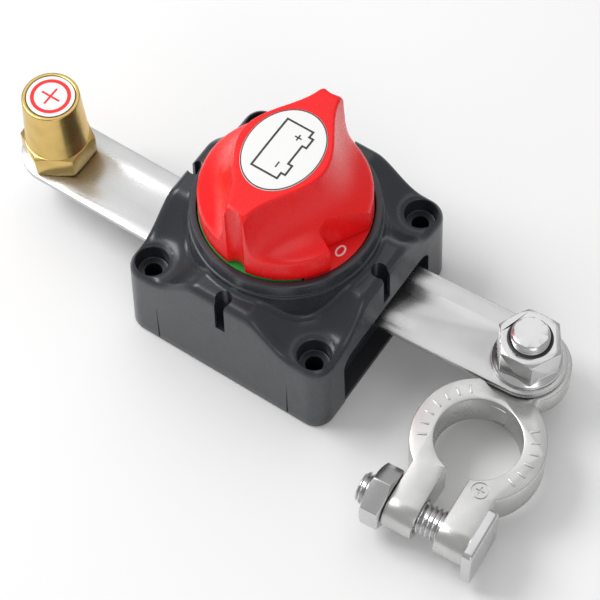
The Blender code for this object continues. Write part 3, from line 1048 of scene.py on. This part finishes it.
@dataclass
class GripKnob:
    """The grip knob with its label, and the signs on the dial below it."""

    radius: float = 24.6
    crown: float = 1.2
    tip: float = 3.2
    swell: float = 10.0
    lobe: float = 55.8
    dome: float = 3.2
    ridge_round: float = 0.9
    rim_round: float = 1.1
    groove: float = 3.3
    groove_places: Point = (-26.0, 26.4)
    label: Point = (10.8, 14.1)
    sign_place: Point = (21.0, -4.1)

    def crest_half(self, y: float) -> float:
        """Half the width of the grip's top at a place along it."""
        return self.tip + self.swell * (0.5 + 0.5 * math.cos(math.pi * min(1.0, abs(y) / self.radius)))

    def crest(self, y: float) -> float:
        """The height of the grip's top at a place along it."""
        return node_span("knob")[1].z - self.crown * min(1.0, abs(y) / self.radius) ** 2

    def flank(self, y: float) -> tuple[float, float]:
        """How a flank falls from the crest.

        Args:
            y: The place along the grip.

        Returns:
            The length over which it fades, and its steepest angle in radians.
        """
        fade = 0.7 + 2.7 * (1 - min(1.0, abs(y) / self.radius) ** 4)
        return fade, math.atan((self.crest(y) - self.lobe - self.dome) / fade)

    def height(self, x: float, y: float) -> float:
        """The height of the knob's top at a place."""
        away = min(self.radius, math.hypot(x, y))
        lobe = self.lobe + self.dome * (1 - (away / self.radius) ** 4)
        crest, past = self.crest(y), abs(x) - self.crest_half(y)
        fade, angle = self.flank(y)
        start = -self.ridge_round * math.tan(angle / 2)
        if past <= start:
            level = crest
        elif past <= start + self.ridge_round * math.sin(angle):
            level = crest - self.ridge_round + math.sqrt(self.ridge_round**2 - (past - start) ** 2)
        else:
            level = lobe + (crest - lobe) * math.exp(-past / fade)
        high = (level - lobe) / (crest - lobe)
        soft = self.rim_round + 1.5 * high
        inside = min(soft, self.radius - away)
        return level - soft + math.sqrt(max(0.0, soft**2 - (soft - inside) ** 2))

    def stations(self, y: float, chord: float) -> list[float]:
        """Places across one half of the knob, close together where it bends.

        Args:
            y: The place along the grip.
            chord: Half the knob's width there.

        Returns:
            Distances from the middle, ending at the chord.
        """
        half = self.crest_half(y)
        angle = self.flank(y)[1]
        start = half - self.ridge_round * math.tan(angle / 2)
        end = start + self.ridge_round * math.sin(angle)
        rim = max(end, chord - self.rim_round)
        made = [start * i / 9 for i in range(10)]
        made += [start + self.ridge_round * math.sin(angle * i / 6) for i in range(1, 7)]
        made += [end + (rim - end) * (i / 18) ** 1.5 for i in range(1, 19)]
        made += [rim + (chord - rim) * math.sin(math.pi / 2 * i / 7) for i in range(1, 8)]
        return [min(chord, place) for place in made]

    def body(self) -> Object:
        """The knob's solid, hollow underneath."""
        foot = node_span("knob")[0].z
        half_columns, rows = 40, 150

        def place(column: int, row: int) -> Place:
            """One point of the knob's top."""
            turn = math.radians(88.8) * (2 * row / rows - 1)
            y, chord = self.radius * math.sin(turn), self.radius * math.cos(turn)
            side = column - half_columns
            x = math.copysign(self.stations(y, chord)[abs(side)], side)
            z = self.height(x, y)
            return x, y, z

        piece = lofted("grip_knob", half_columns * 2, rows, place)
        count = len(piece.data.vertices)
        edit_all(piece, lambda: bpy.ops.mesh.extrude_region_move())
        for vert in piece.data.vertices:
            if vert.index >= count:
                vert.co.z = foot * MM
        tidy_surface(piece)
        window = [(16.9, -5.9), (25.0, 8.0), (32, 8.0), (32, -14.5), (22.96, -11.0), (19.1, -9.5)]
        window += arc(1.9, 250, 150, 8, (18.7, -7.6))
        under = [(0, 54), (9.2, 54), (9.2, foot - 1), (0, foot - 1)]
        return cut(
            piece,
            slab("window", window, (foot - 1, 80)),
            rod("socket", 7.9, (foot - 1, 60.6)),
            turned("underside", under, spokes=48),
            rod("screw_recess", 4.6, (64, 80)),
            rod("screw_hole", 2.3, (60, 66), sides=32),
            *(rod("groove", self.groove, (foot - 1, 80), at=(0, y)) for y in self.groove_places),
            solver="MANIFOLD",
        )

    def on_crest(self, outline: Sequence[Point], name: str, lift: Point) -> Object:
        """A flat shape laid along the grip's crowned top."""
        piece = slab(name, outline, lift)
        for vert in piece.data.vertices:
            vert.co.z += self.crest(vert.co.y / MM) * MM
        return piece

    def oval(self, name: str, profile: Sequence[Point]) -> Object:
        """A label-shaped ring or disc.

        Args:
            name: The piece's name.
            profile: Parts of the label's size, and heights above the crest.

        Returns:
            The piece.
        """

        def place(column: int, row: int) -> Place:
            """One point of the oval."""
            turn = 2 * math.pi * (column % 120) / 120
            size, lift = profile[row]
            x, y = self.label[0] * size * math.cos(turn), self.label[1] * size * math.sin(turn)
            return x, y, self.crest(y) + lift

        return lofted(name, 120, len(profile) - 1, place)

    def battery_sign(self) -> Object:
        """The outline of a battery, its poles on the +X side."""
        x0, x1, y0, y1, pole = -4.6, 3.7, -8.8, 8.8, 1.3
        near, far = y0 + 2, y0 + 5.4
        corners = [(x0, y0), (x1, y0), (x1, near), (x1 + pole, near), (x1 + pole, far), (x1, far)]
        corners += [(x, -y) for x, y in reversed(corners)]
        path: list[Point] = []
        for first, second in zip(corners, [*corners[1:], corners[0]]):
            steps = max(1, round(math.dist(first, second)))
            path += [tuple(Vector(first).lerp(Vector(second), i / steps)) for i in range(steps)]
        section = ((-0.3, 0.27), (-0.3, 0.33), (0.3, 0.33), (0.3, 0.27), (-0.3, 0.27))

        def place(column: int, row: int) -> Place:
            """One point of the printed line."""
            here = Vector(path[column % len(path)])
            into = (here - Vector(path[column % len(path) - 1])).normalized()
            out = (Vector(path[(column + 1) % len(path)]) - here).normalized()
            side = (Vector((into.y, -into.x)) + Vector((out.y, -out.x))).normalized()
            stretch = 1 / max(0.5, side.dot(Vector((out.y, -out.x))))
            offset, lift = section[row]
            spot = here + side * offset * stretch
            return spot.x, spot.y, self.crest(spot.y) + lift

        return lofted("battery_outline", len(path), 4, place)

    def build(self, paints: Paintbox) -> None:
        """Make and dress the knob, its label and the dial's signs."""
        present(smooth(tidy_surface(self.body()), 24), Body.KNOB, Slot.RED, paints.red, "knob")
        stock = [(0.0, 0.3), (0.3, 0.3), (0.6, 0.3), (0.85, 0.3), (0.975, 0.3), (0.993, 0.28), (1.0, 0.2)]
        stock += [(1.0, -0.15), (0.5, -0.15), (0.0, -0.15)]
        label = smooth(self.oval("grip_label", stock))
        present(label, Body.KNOB, Slot.WHITE_PRINT, paints.white_print, "knob_label")
        line = [(0.965, 0.27), (0.965, 0.33), (0.992, 0.32), (0.992, 0.26), (0.965, 0.27)]
        plus = [(0.22, 0.22), (1.05, 0.22), (1.05, -0.22), (0.22, -0.22)]
        cross = [point for turn in range(4) for point in self._quarter(plus, turn)]
        signs = (
            self.oval("label_border", line),
            self.battery_sign(),
            self.on_crest([(x + 1.3, y + 5.1) for x, y in cross], "plus_sign", (0.25, 0.33)),
            self.on_crest([(1.1, -6.1), (1.1, -4.1), (1.55, -4.1), (1.55, -6.1)], "minus_sign", (0.25, 0.33)),
        )
        for sign in signs:
            present(smooth(sign), Body.KNOB, Slot.WHITE_PRINT, paints.dark_print)
        self.dial_signs(paints)

    @staticmethod
    def _quarter(points: Sequence[Point], turn: int) -> list[Point]:
        """One arm of a cross, turned by quarters."""
        angle = -math.pi / 2 * turn
        cosine, sine = math.cos(angle), math.sin(angle)
        return [(x * cosine - y * sine, x * sine + y * cosine) for x, y in points[:3]]

    def dial_signs(self, paints: Paintbox) -> None:
        """Add the dial's 0 and I."""
        top = node_span("dial_off_sector")[1].z
        x, y = self.sign_place
        section = ((0.8, 1.45, -0.02), (0.8, 1.45, 0.03), (1.35, 2.0, 0.03), (1.35, 2.0, -0.02))

        def place(column: int, row: int) -> Place:
            """One point of the 0."""
            turn = 2 * math.pi * (column % 48) / 48
            wide, tall, lift = section[row % 4]
            return x + wide * math.cos(turn), y + tall * math.sin(turn), top + lift

        present(smooth(lofted("dial_zero", 48, 4, place)), Body.CASE, Slot.WHITE_PRINT, paints.white_print)
        bar = block("dial_one", (y - 1.9, y + 1.9), (-x - 0.3, -x + 0.3), (top - 0.02, top + 0.03))
        present(bar, Body.CASE, Slot.WHITE_PRINT, paints.white_print)


# ---------------------------------------------------------------- bars and post


@dataclass
class Bars:
    """The two flat bars."""

    half_width: float = 11.6
    stud: Point = (14.0, 6.0)
    yaw: float = 3.27

    def bar(self, name: str, length: float, far_hole: float, where: Matrix) -> Object:
        """A bar with round ends.

        Args:
            name: The piece's name.
            length: The distance between its end centres.
            far_hole: The radius of its outer hole.
            where: Its place, at its stud.

        Returns:
            The piece.
        """
        low, high = node_span("left_bar")
        z = (low.z, high.z)
        piece = rod(name, self.half_width, z, at=(length, 0), sides=128)
        for vert in piece.data.vertices:
            if vert.co.x < length * MM - 1e-6:
                vert.co.x -= length * MM
        cut(piece, rod("stud_hole", 5.3, (0, 40)), rod("far_hole", far_hole, (0, 40), at=(length, 0)))
        return bake_place(smooth(soften(piece, 0.3)), where)

    def build(self, paints: Paintbox) -> None:
        """Make and dress both bars."""
        x, y = self.stud
        left = Matrix.Translation((-x, -y, 0)) @ Matrix.Rotation(math.pi, 4, "Z")
        piece = self.bar("plated_bar_left", -x - node_centre("battery_post").x, 5.4, left)
        present(piece, Body.CASE, Slot.PLATE, paints.bar, "left_bar")
        turn = Matrix.Rotation(math.radians(self.yaw), 4, "Z")
        reach = (node_centre("clamp_bolt").x - x) / math.cos(math.radians(self.yaw))
        piece = self.bar("plated_bar_right", reach, 5.9, Matrix.Translation((x, y, 0)) @ turn)
        present(piece, Body.CASE, Slot.PLATE, paints.bar, "right_bar")


@dataclass
class BatteryPost:
    """The tapered post with its label and its bolt."""

    flats: float = 19.4
    foot_radius: float = 9.55
    top_radius: float = 8.5
    hexagon_top: float = 27.0
    label_radius: float = 7.1
    ring: Point = (4.85, 5.95)
    arm: Point = (3.1, 0.32)

    def build(self, paints: Paintbox) -> None:
        """Make and dress the post."""
        low, high = node_span("battery_post")
        centre = node_centre("battery_post")
        here = Matrix.Translation((centre.x, centre.y, 0))
        cone = eased(
            [
                (0, high.z - 0.55),
                (self.label_radius + 0.2, high.z - 0.55),
                (self.label_radius + 0.2, high.z),
                (self.top_radius, high.z),
                (self.foot_radius, self.hexagon_top - 0.4),
                (self.foot_radius, self.hexagon_top - 2),
                (0, self.hexagon_top - 2),
            ],
            0.5,
        )
        piece = turned("brass_post", cone, spokes=128)
        unite(piece, hexagon("post_hexagon", self.flats, (low.z, self.hexagon_top), 30))
        cut(piece, rod("post_bore", 5.1, (10, 38.5)))
        soften(piece, 0.25)
        present(bake_place(smooth(piece), here), Body.CASE, Slot.BRASS, paints.brass, "battery_post")

        label_low, label_high = node_span("post_label")
        rim = eased([(0, label_high.z), (self.label_radius, label_high.z), (self.label_radius, label_low.z),
                     (0, label_low.z)], 0.08)
        disc = turned("post_disc", rim, here)
        present(smooth(disc), Body.CASE, Slot.WHITE_PRINT, paints.white_print, "post_label")
        ink = (label_high.z - 0.02, label_high.z + 0.04)
        inner, outer = self.ring
        section = [(inner, ink[0]), (inner, ink[1]), (outer, ink[1]), (outer, ink[0])]
        ring = turned("post_ring", section, here, closed=True)
        present(smooth(ring), Body.CASE, Slot.RED_PRINT, paints.red_print)
        arm, half = self.arm
        outline = [(arm, -half), (arm, half), (half, half), (half, arm), (-half, arm), (-half, half)]
        outline += [(-x, -y) for x, y in outline]
        present(slab("post_plus", outline, ink, here), Body.CASE, Slot.RED_PRINT, paints.red_print)

        bolt_low = node_span("post_bolt")[0]
        head = hexagon("post_screw", 17.0, (bolt_low.z, bolt_low.z + 6.4), 0, "low")
        unite(head, rod("post_shank", 4.8, (bolt_low.z + 6, 36.5)))
        present(bake_place(smooth(soften(head, 0.2)), here), Body.CASE, Slot.STEEL, paints.steel, "post_bolt")


# ---------------------------------------------------------------- clamp


@dataclass
class Clamp:
    """The battery clamp with its bolts and nuts, in a frame on its bolt with X along the bar."""

    yaw: float = 3.5
    ring: float = 29.2
    outer: float = 19.3
    bore: float = 12.5
    ear: float = 12.8
    slit: float = 3.45
    ear_end: float = 62.25
    lug: float = 12.9
    lug_foot: float = 8.6
    neck: float = 9.4
    pinch: float = 55.2
    pole_sign: Point = (7.9, -43.0)
    ear_round: float = 6.2
    step_radius: float = 14.0
    bar_side: float = -12.05
    lug_bolt: float = 5.6
    cross_bolt: float = 4.8
    pitch: float = 1.5
    lug_flats: float = 17.0
    cross_flats: float = 16.0
    square_half: float = 8.4

    def frame(self) -> Matrix:
        """The clamp's own frame."""
        centre = node_centre("clamp_bolt")
        turn = Matrix.Rotation(math.radians(self.yaw), 4, "Z")
        return Matrix.Translation((centre.x, centre.y, 0)) @ turn

    def outline(self) -> list[Point]:
        """The ring and its ears as one outline with the bore inside it."""
        at = (0.0, -self.ring)
        outer = math.degrees(math.acos(self.ear / self.outer))
        inner = math.degrees(math.asin(self.slit / self.bore))
        points = [(self.ear, -self.ear_end)]
        points += arc(self.outer, -outer, 180 + outer, 96, at)
        points += [(-self.ear, -self.ear_end), (-self.slit, -self.ear_end)]
        points += arc(self.bore, 270 - inner, -90 + inner, 96, at)
        points += [(self.slit, -self.ear_end)]
        return points

    def casting(self) -> Object:
        """The clamp's solid."""
        low, high = (corner.z for corner in node_span("battery_clamp"))
        bar_foot = node_span("right_bar")[0].z
        piece = slab("clamp_casting", self.outline(), (low, high))
        end = -self.ear_end + 0.1

        def across_end(first: Vector, second: Vector) -> bool:
            """Whether an edge runs across the end of an ear."""
            level = abs(first.z - second.z) < 0.1 and abs(first.y - second.y) < 0.1
            return level and max(first.y, second.y) < end

        bevel_edges(piece, across_end, self.ear_round, 14)
        step = bar_foot - 0.3
        clear = (step, 30)
        side = block("step_side", (-30, 30), (self.bar_side, 30), clear)
        cut(piece, rod("step", self.step_radius, clear, sides=96), side)
        lean = math.degrees(math.acos(self.neck / self.lug))
        lug = arc(self.lug, -lean, 180 + lean, 72) + [(-self.neck, -17.0), (self.neck, -17.0)]
        unite(piece, slab("lug", lug, (self.lug_foot, step)))
        lay = Matrix.Translation((0, -self.pinch, (low + high) / 2)) @ Matrix.Rotation(math.pi / 2, 4, "Y")
        cut(piece, rod("bolt_hole", 6.0, (0, 30)), rod("pinch_hole", 5.1, (-40, 40), lay))
        soften(piece, 0.4)
        x, y = self.pole_sign
        here = Matrix.Translation((x, y, 0))
        groove = [(2.2, high - 0.35), (2.2, high + 1), (2.65, high + 1), (2.65, high - 0.35)]
        cut(
            piece,
            turned("sign_ring", groove, here, 48, closed=True),
            block("sign_arm_x", (-1.3, 1.3), (-0.2, 0.2), (high - 0.35, high + 1), here),
            block("sign_arm_y", (-0.2, 0.2), (-1.3, 1.3), (high - 0.35, high + 1), here),
        )
        return bake_place(smooth(piece), self.frame())

    def marks(self) -> Object:
        """Plain raised dashes round the ring's face, in two runs."""
        high = node_span("battery_clamp")[1].z
        dashes = []
        for start, step, count in ((204, -13, 7), (38, -13, 6)):
            for i in range(count):
                turn = math.radians(start + step * i)
                spin = Matrix.Translation((0, -self.ring, 0)) @ Matrix.Rotation(turn, 4, "Z")
                dashes.append(block("dash", (14.5, 17.3), (-0.3, 0.3), (high - 0.1, high + 0.25), spin))
        deselect()
        for dash in dashes:
            soften(dash, 0.12)
        deselect()
        for dash in dashes:
            dash.select_set(True)
        bpy.context.view_layer.objects.active = dashes[0]
        bpy.ops.object.join()
        dashes[0].name = "clamp_dashes"
        return bake_place(smooth(dashes[0]), self.frame())

    def build(self, paints: Paintbox) -> None:
        """Make and dress the clamp and its fasteners."""
        present(self.casting(), Body.CLAMP, Slot.PLATE, paints.cast, "battery_clamp")
        present(self.marks(), Body.CLAMP, Slot.PLATE, paints.cast)
        self.build_clamp_bolt(paints)
        self.build_pinch_bolt(paints)

    def build_clamp_bolt(self, paints: Paintbox) -> None:
        """Make the bolt through the lug, its flange nut, and a black ring of painted shade in the nut's
        mouth.
        """
        low, high = (corner.z for corner in node_span("clamp_bolt"))
        centre = node_centre("clamp_bolt")
        here = Matrix.Translation((centre.x, centre.y, 0))
        head = hexagon("lug_bolt", self.lug_flats, (low, low + 6), 0, "low")
        thread = threaded("lug_thread", self.lug_bolt, self.pitch, (24, high), 0.7)
        unite(head, rod("lug_shank", 5.0, (low + 5, 25)), thread)
        present(bake_place(smooth(head), here), Body.CASE, Slot.STEEL, paints.steel, "clamp_bolt")
        foot, top = (corner.z for corner in node_span("clamp_nut"))
        flange = [(5.95, foot), (10.3, foot), (10.3, foot + 1.1), (9.2, foot + 1.9)]
        flange += [(7.0, foot + 4.2), (5.95, foot + 4.2)]
        piece = turned("flange_nut", eased(flange, 0.4) + [flange[0]])
        six = hexagon("nut_hexagon", self.lug_flats, (foot + 1.6, top), self.yaw, "top")
        cut(six, rod("nut_bore", 5.95, (0, 50), sides=96))
        cut(six, turned("nut_mouth", [(0, top + 1), (7.6, top + 1), (6.3, top - 0.15), (0, top - 0.9)]))
        unite(piece, six)
        piece = bake_place(smooth(soften(piece, 0.2)), here)
        present(piece, Body.CASE, Slot.STEEL, paints.steel, "clamp_nut")
        # Painted shade: a thin black ring set in the nut's mouth round the bolt stands in for the shadow in
        # the countersink.
        collar = [(5.62, top - 1), (5.62, top + 0.1), (6.0, top + 0.3), (6.5, top + 0.1), (6.5, top - 1)]
        ring = turned("nut_mouth_shade_ring", collar, here, closed=True)
        present(smooth(ring, 40), Body.CASE, Slot.BLACK, paints.black)

    def build_pinch_bolt(self, paints: Paintbox) -> None:
        """Make the bolt across the ears, and its nut."""
        low, high = (corner.z for corner in node_span("battery_clamp"))
        lay = self.frame() @ Matrix.Translation((0, -self.pinch, (low + high) / 2))
        lay = lay @ Matrix.Rotation(-math.pi / 2, 4, "Y")
        head_in, head_out = -self.ear - 0.3, -self.ear - 3.2
        thread = threaded("cross_bolt", self.cross_bolt, self.pitch, (-self.ear + 2, 22.6), 0.9)
        half = self.square_half
        outline = [(half, half), (-half, half), (-half, -half), (half, -half)]
        head = slab("square_head", outline, (head_out, head_in))
        bevel_edges(head, lambda a, b: abs(a.z - b.z) > 1, 1.6, 5)
        bevel_edges(head, lambda a, b: max(a.z, b.z) < head_out + 0.1, 0.9, 4)
        unite(thread, rod("square_shank", 4.75, (head_in - 1, -self.ear + 2.6)), head)
        present(bake_place(smooth(thread), lay), Body.PINCH_BOLT, Slot.STEEL, paints.steel, "pinch_bolt")
        start = self.ear + 0.3
        nut = hexagon("cross_nut", self.cross_flats, (start, start + 6), 0)
        mouth = [(0, start + 7), (6.6, start + 7), (5.2, start + 5.6), (0, start + 5.6)]
        cut(nut, rod("cross_nut_bore", 5.1, (0, 40)), turned("cross_nut_mouth", mouth))
        nut = bake_place(smooth(soften(nut, 0.15)), lay)
        present(nut, Body.PINCH_NUT, Slot.STEEL, paints.steel, "pinch_nut")


# ---------------------------------------------------------------- the rest


def dress_frame_nodes(paints: Paintbox) -> None:
    """Give each frame node that stays its material."""
    by_slot = {
        Slot.CASE: paints.case,
        Slot.BLACK: paints.black,
        Slot.RED: paints.red,
        Slot.GREEN_PRINT: paints.green_print,
        Slot.RED_PRINT: paints.red_print,
        Slot.WHITE_PRINT: paints.white_print,
        Slot.PLATE: paints.bar,
        Slot.STEEL: paints.steel,
        Slot.COPPER: paints.copper,
        Slot.BRASS: paints.brass,
        Slot.RUBBER: paints.rubber,
    }
    for part in frame["record"]["subparts"]:
        node = frame["nodes"][part["node"]]
        finish = by_slot[Slot(part["material_slot"])]
        for place in node.material_slots:
            place.material = finish


@dataclass
class Studio:
    """A pale floor, soft lights and the camera."""

    azimuth: float = 35.331
    elevation: float = 60.047
    roll: float = -1.751
    distance: float = 704.07
    lens: float = 142.12
    aim: Point = (3.211, -3.011)

    def build(self) -> None:
        """Set up the scene round the object."""
        bpy.context.scene.view_settings.view_transform = "Standard"
        self.floor()
        self.lights()
        self.camera()

    def floor(self) -> None:
        """A large pale sheet just under the object."""
        deselect()
        bpy.ops.mesh.primitive_plane_add(size=6, location=(0, 0, -0.0003))
        sheet = bpy.context.object
        sheet.name = "floor"
        shader = Shader("pale_floor")
        cloud = shader.noise(300, 2)
        shader.feed(Base_Color=shader.blend(cloud, (0.93, 0.93, 0.93), (0.95, 0.95, 0.95)))
        shader.set(Roughness=0.8)
        sheet.data.materials.append(shader.material)
        sheet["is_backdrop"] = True

    def lights(self) -> None:
        """Broad lights overhead and a soft world."""
        world = bpy.data.worlds.new("studio")
        bpy.context.scene.world = world
        world.use_nodes = True
        backdrop = world.node_tree.nodes["Background"]
        backdrop.inputs["Color"].default_value = (1.0, 1.0, 1.0, 1.0)
        backdrop.inputs["Strength"].default_value = 0.48
        for name, place, size, power in (
            ("top", (-0.32, 0.45, 0.95), 1.1, 2.6),
            ("key", (-0.5, -0.15, 0.7), 0.4, 3.8),
            ("fill", (0.7, -0.6, 0.6), 0.5, 1.2),
        ):
            deselect()
            bpy.ops.object.light_add(type="AREA", location=place)
            light = bpy.context.object
            light.name = name
            light.data.size = size
            light.data.energy = power
            light.rotation_euler = Vector(place).to_track_quat("Z", "Y").to_euler()

    def camera(self) -> None:
        """The camera at its viewing angle."""
        turn = (
            Matrix.Rotation(math.radians(self.azimuth), 4, "Z")
            @ Matrix.Rotation(math.radians(90 - self.elevation), 4, "X")
            @ Matrix.Rotation(math.radians(self.roll), 4, "Z")
        )
        place = turn @ Matrix.Translation(Vector((*self.aim, self.distance)) * MM)
        deselect()
        bpy.ops.object.camera_add()
        camera = bpy.context.object
        camera.name = "camera"
        camera.matrix_world = place
        camera.data.lens = self.lens
        camera.data.sensor_width = 36.0
        camera.data.clip_start = 0.01
        bpy.context.scene.camera = camera


def write_sizes() -> None:
    """Work out the boxes of the frame and of the finished model as JSON text, which is then thrown away.
    """
    bpy.context.view_layer.update()
    boxes = {"cad": CAD_BOX, "visual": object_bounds()}
    json.dumps({key: [list(corner) for corner in box] for key, box in boxes.items()})


def main() -> None:
    """Build every piece in order."""
    logging.basicConfig(level=logging.INFO, format="%(message)s")
    Studio().build()
    paints = Paintbox()
    dress_frame_nodes(paints)
    Housing().build(paints)
    GripKnob().build(paints)
    Bars().build(paints)
    BatteryPost().build(paints)
    Clamp().build(paints)
    deselect()
    write_sizes()


if __name__ == "__main__":
    main()
